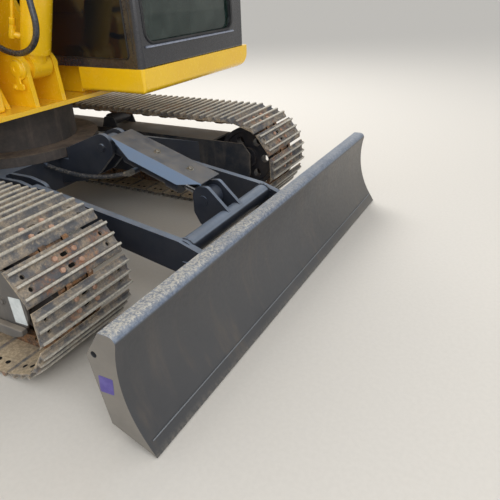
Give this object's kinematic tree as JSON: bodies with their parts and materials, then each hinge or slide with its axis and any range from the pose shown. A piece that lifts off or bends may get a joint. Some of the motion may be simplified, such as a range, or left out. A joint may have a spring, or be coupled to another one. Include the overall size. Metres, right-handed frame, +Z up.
{
  "type": "crawler excavator with dozer blade",
  "caption": "Small crawler excavator with a dozer blade, cab, backhoe boom, arm and bucket, all driven by hydraulic cylinders, on steel tracks.",
  "frame": {"origin": "on the ground under the middle of the machine's length and width, with the boom raised as it stands", "axes": "+X points forward to the blade, +Y to the machine's left, where the cab is, +Z up"},
  "size_m": [5.2478, 2.275, 4.6589],
  "materials": {
    "yellow_paint": "gloss",
    "undercarriage_paint": "satin",
    "blade_paint": "worn satin",
    "track_steel": "dusty",
    "chrome_rod": "polished",
    "hose_rubber": "satin",
    "fitting_steel": "satin",
    "black_paint": "satin",
    "cab_paint": "satin",
    "glass": "gloss",
    "black_plastic": "matte",
    "seat_fabric": "matte",
    "dark_body_paint": "satin",
    "engine_iron": "matte",
    "bucket_paint": "worn"
  },
  "bodies": {
    "undercarriage": {"centre_frame": "undercarriage_paint", "slew_ring_lower": "undercarriage_paint", "track_frame_left": "undercarriage_paint", "track_frame_right": "undercarriage_paint", "track_left": "track_steel", "track_right": "track_steel", "idlers": "track_steel", "sprockets": "track_steel", "rollers": "track_steel", "blade_hose": "hose_rubber", "blade_hose_elbow": "fitting_steel"},
    "blade": {"blade_board": "blade_paint", "blade_arms": "undercarriage_paint"},
    "blade_barrel": {"blade_cylinder_barrel": "undercarriage_paint", "blade_cylinder_cover": "undercarriage_paint"},
    "blade_rod": {"blade_cylinder_rod": "chrome_rod"},
    "upper": {"slew_drum": "black_paint", "revolving_frame": "yellow_paint", "counterweight": "dark_body_paint", "engine_block": "engine_iron", "engine_side_panels": "yellow_paint", "tank": "yellow_paint", "tool_box": "yellow_paint", "cab_frame": "cab_paint", "cab_glass": "glass", "cab_floor": "black_plastic", "cab_skirt": "yellow_paint", "seat": "seat_fabric", "consoles": "black_plastic", "handrail": "cab_paint", "boom_hose": "hose_rubber"},
    "hood": {"engine_hood": "yellow_paint", "exhaust": "cab_paint"},
    "door": {"cab_door": "cab_paint", "cab_door_glass": "glass"},
    "boom": {"boom": "yellow_paint"},
    "boom_barrel": {"boom_cylinder_barrel": "yellow_paint"},
    "boom_rod": {"boom_cylinder_rod": "chrome_rod"},
    "arm": {"arm": "yellow_paint"},
    "arm_barrel": {"arm_cylinder_barrel": "yellow_paint"},
    "arm_rod": {"arm_cylinder_rod": "chrome_rod"},
    "rocker": {"rocker": "bucket_paint"},
    "link": {"bucket_link": "bucket_paint"},
    "bucket": {"bucket": "bucket_paint"},
    "bucket_barrel": {"bucket_cylinder_barrel": "yellow_paint"},
    "bucket_rod": {"bucket_cylinder_rod": "chrome_rod"}
  },
  "joints": [
    {"name": "slew", "type": "hinge", "parent": "undercarriage", "child": "upper", "pos_m": [-0.87406, 0, 0.48], "axis": [0, 0, 1], "continuous": true},
    {"name": "blade_lift", "type": "hinge", "parent": "undercarriage", "child": "blade", "pos_m": [-0.27406, 0, 0.4], "axis": [0, -1, 0], "range_deg": [-14.5, 17.5]},
    {"name": "blade_barrel_turn", "type": "hinge", "parent": "undercarriage", "child": "blade_barrel", "pos_m": [-0.13906, 0, 0.562], "axis": [0, -1, 0], "range_deg": [-16.93, 20.33]},
    {"name": "blade_rod_slide", "type": "slide", "parent": "blade_barrel", "child": "blade_rod", "axis": [0.95, 0, -0.3123], "range_m": [-0.05975, 0.04985]},
    {"name": "boom_lift", "type": "hinge", "parent": "upper", "child": "boom", "pos_m": [-0.82406, -0.111, 1.33], "axis": [0, -1, 0], "range_deg": [-78, 12]},
    {"name": "boom_barrel_turn", "type": "hinge", "parent": "upper", "child": "boom_barrel", "pos_m": [-0.44406, -0.111, 0.95], "axis": [0, -1, 0], "range_deg": [-81.84, 13.02]},
    {"name": "boom_rod_slide", "type": "slide", "parent": "boom_barrel", "child": "boom_rod", "axis": [0.3296, 0, 0.9441], "range_m": [-0.66904, 0.10462]},
    {"name": "arm_swing", "type": "hinge", "parent": "boom", "child": "arm", "pos_m": [1.56906, -0.111, 4.15187], "axis": [0, 1, 0], "range_deg": [-75, 23]},
    {"name": "arm_barrel_turn", "type": "hinge", "parent": "boom", "child": "arm_barrel", "pos_m": [-0.26052, -0.111, 3.27777], "axis": [0, 1, 0], "range_deg": [-1.06, 2.33]},
    {"name": "arm_rod_slide", "type": "slide", "parent": "arm_barrel", "child": "arm_rod", "axis": [0.7904, 0, 0.6126], "range_m": [-0.5239, 0.16205]},
    {"name": "bucket_curl", "type": "hinge", "parent": "arm", "child": "bucket", "pos_m": [2.34369, -0.111, 2.69501], "axis": [0, 1, 0], "range_deg": [-105, 22]},
    {"name": "rocker_turn", "type": "hinge", "parent": "arm", "child": "rocker", "pos_m": [2.19346, -0.111, 2.97755], "axis": [0, 1, 0], "range_deg": [-84.23, 18.04]},
    {"name": "link_turn", "type": "hinge", "parent": "rocker", "child": "link", "pos_m": [2.47588, -0.111, 2.87637], "axis": [0, 1, 0], "range_deg": [-18.52, 86.51]},
    {"name": "bucket_barrel_turn", "type": "hinge", "parent": "arm", "child": "bucket_barrel", "pos_m": [1.88558, -0.111, 4.19559], "axis": [0, 1, 0], "range_deg": [-4.25, 1.28]},
    {"name": "bucket_rod_slide", "type": "slide", "parent": "bucket_barrel", "child": "bucket_rod", "axis": [0.4084, 0, -0.9128], "range_m": [-0.38601, 0.08246]},
    {"name": "hood_lift", "type": "hinge", "parent": "upper", "child": "hood", "pos_m": [-1.35406, 0, 1.704], "axis": [0, 1, 0], "range_deg": [0, 60]},
    {"name": "door_swing", "type": "hinge", "parent": "upper", "child": "door", "pos_m": [-1.16406, 1.114, 1.7], "axis": [0, 0, 1], "range_deg": [0, 160]}
  ],
  "couplings": [
    {"joint": "blade_barrel_turn", "follows": "blade_lift", "ratio": 1.133},
    {"joint": "blade_rod_slide", "follows": "blade_lift", "m_per_rad": -0.18909},
    {"joint": "boom_barrel_turn", "follows": "boom_lift", "ratio": 1.0429},
    {"joint": "boom_rod_slide", "follows": "boom_lift", "m_per_rad": 0.48999},
    {"joint": "arm_barrel_turn", "follows": "arm_swing", "ratio": -0.024373},
    {"joint": "arm_rod_slide", "follows": "arm_swing", "m_per_rad": 0.3987},
    {"joint": "rocker_turn", "follows": "bucket_curl", "ratio": 0.79743},
    {"joint": "link_turn", "follows": "bucket_curl", "ratio": -0.81911},
    {"joint": "bucket_barrel_turn", "follows": "bucket_curl", "ratio": 0.035662},
    {"joint": "bucket_rod_slide", "follows": "bucket_curl", "m_per_rad": 0.20955}
  ]
}
